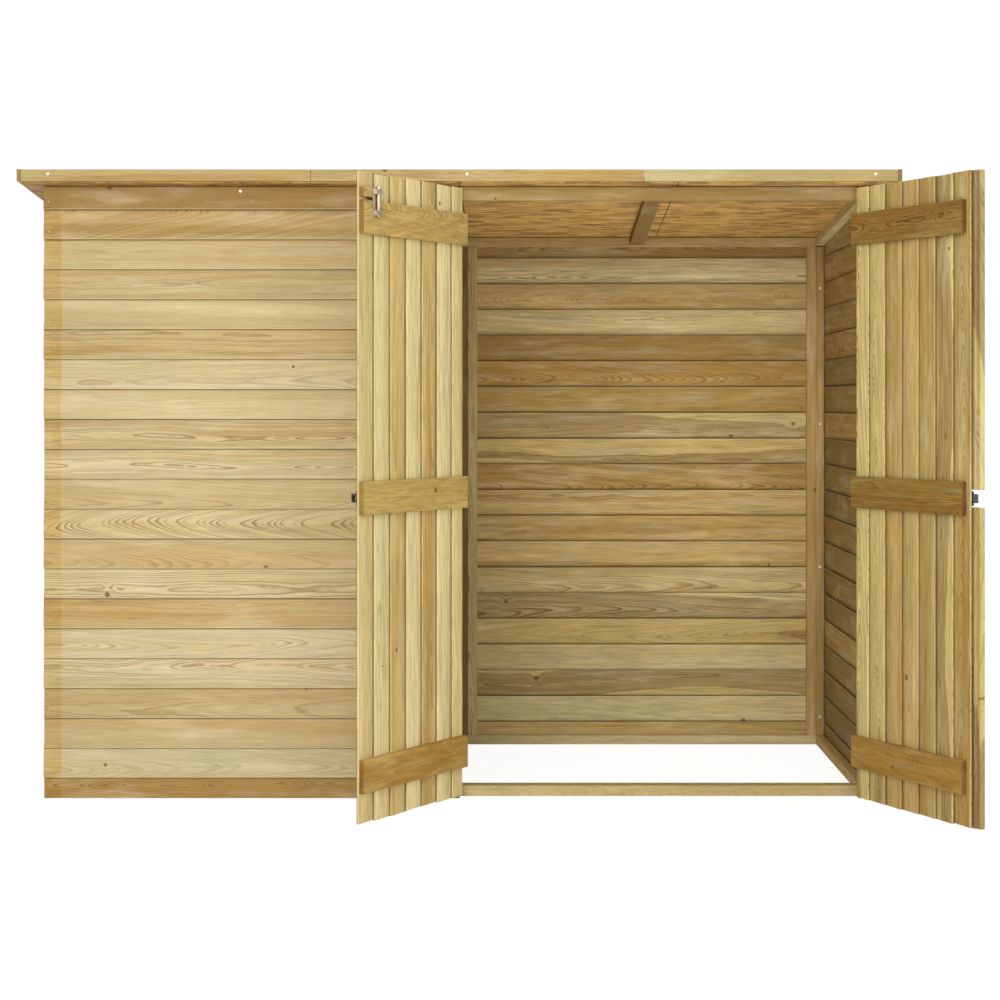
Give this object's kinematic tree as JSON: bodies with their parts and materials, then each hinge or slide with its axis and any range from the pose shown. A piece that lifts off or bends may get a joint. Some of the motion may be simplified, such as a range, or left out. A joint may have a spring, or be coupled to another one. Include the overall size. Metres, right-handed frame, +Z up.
{
  "type": "bike shed",
  "caption": "Timber bike shed with lapped board walls, a single-pitch roof and a pair of ledged doors, standing open.",
  "frame": {"origin": "on the ground, at the middle of the shed's width, in the front plane of the wall framing", "axes": "+X to the right along the front, seen from in front; +Y to the back; +Z up"},
  "size_m": [2.4502, 1.5482, 1.6561],
  "materials": {
    "wall_board": "pressure-treated softwood, sawn, lapped boards",
    "framing": "treated softwood batten, planed",
    "trim_batten": "treated softwood batten, greenish",
    "door_board": "pressure-treated softwood, sawn, vertical boards",
    "ledge": "treated softwood board, orange-brown",
    "strand_board": "oriented strand board, unpainted",
    "roof_felt": "mineral-faced roofing felt",
    "zinc_steel": "zinc-plated pressed steel",
    "dark_steel": "black painted steel"
  },
  "bodies": {
    "shed": {"front_panel_boards": "wall_board", "front_panel_studs": "framing", "front_panel_rails": "framing", "back_left_boards": "wall_board", "back_left_studs": "framing", "back_left_rails": "framing", "back_right_boards": "wall_board", "back_right_studs": "framing", "back_right_rails": "framing", "left_side_boards": "wall_board", "left_side_studs": "framing", "left_side_rails": "framing", "right_side_boards": "wall_board", "right_side_studs": "framing", "right_side_rails": "framing", "door_post": "framing", "door_header": "framing", "door_sill": "framing", "rafter_left": "framing", "rafter_right": "framing", "roof_sheet_1": "strand_board", "roof_sheet_2": "strand_board", "roof_sheet_3": "strand_board", "roof_sheet_4": "strand_board", "roof_felt": "roof_felt", "front_fascia": "trim_batten", "back_fascia": "trim_batten", "left_roof_batten": "trim_batten", "right_roof_batten": "trim_batten", "left_hinge_flaps": "zinc_steel", "right_hinge_flaps": "zinc_steel"},
    "left_door": {"left_door_boards": "door_board", "left_door_ledges": "ledge", "left_hinge_straps": "zinc_steel", "lock_bolt_keeper": "dark_steel", "top_bolt_block": "ledge", "top_bolt_plate": "zinc_steel"},
    "right_door": {"right_door_boards": "door_board", "right_door_ledges": "ledge", "right_cover_strip": "trim_batten", "right_hinge_straps": "zinc_steel", "lock_bolt_plate": "dark_steel"},
    "lock_bolt": {"lock_bolt_rod": "dark_steel"},
    "top_bolt": {"top_bolt_rod": "zinc_steel"}
  },
  "joints": [
    {"name": "left_door_hinge", "type": "hinge", "parent": "shed", "child": "left_door", "pos_m": [0, -0.019, 0.8], "axis": [0, 0, -1], "range_deg": [-118.6, 56.4]},
    {"name": "right_door_hinge", "type": "hinge", "parent": "shed", "child": "right_door", "pos_m": [1.052, -0.019, 0.8], "axis": [0, 0, 1], "range_deg": [-114.2, 60.8]},
    {"name": "lock_bolt_slide", "type": "slide", "parent": "right_door", "child": "lock_bolt", "axis": [0.4099, -0.9121, 0], "range_m": [0, 0.04]},
    {"name": "top_bolt_slide", "type": "slide", "parent": "left_door", "child": "top_bolt", "axis": [0, 0, 1], "range_m": [0, 0.022]}
  ]
}
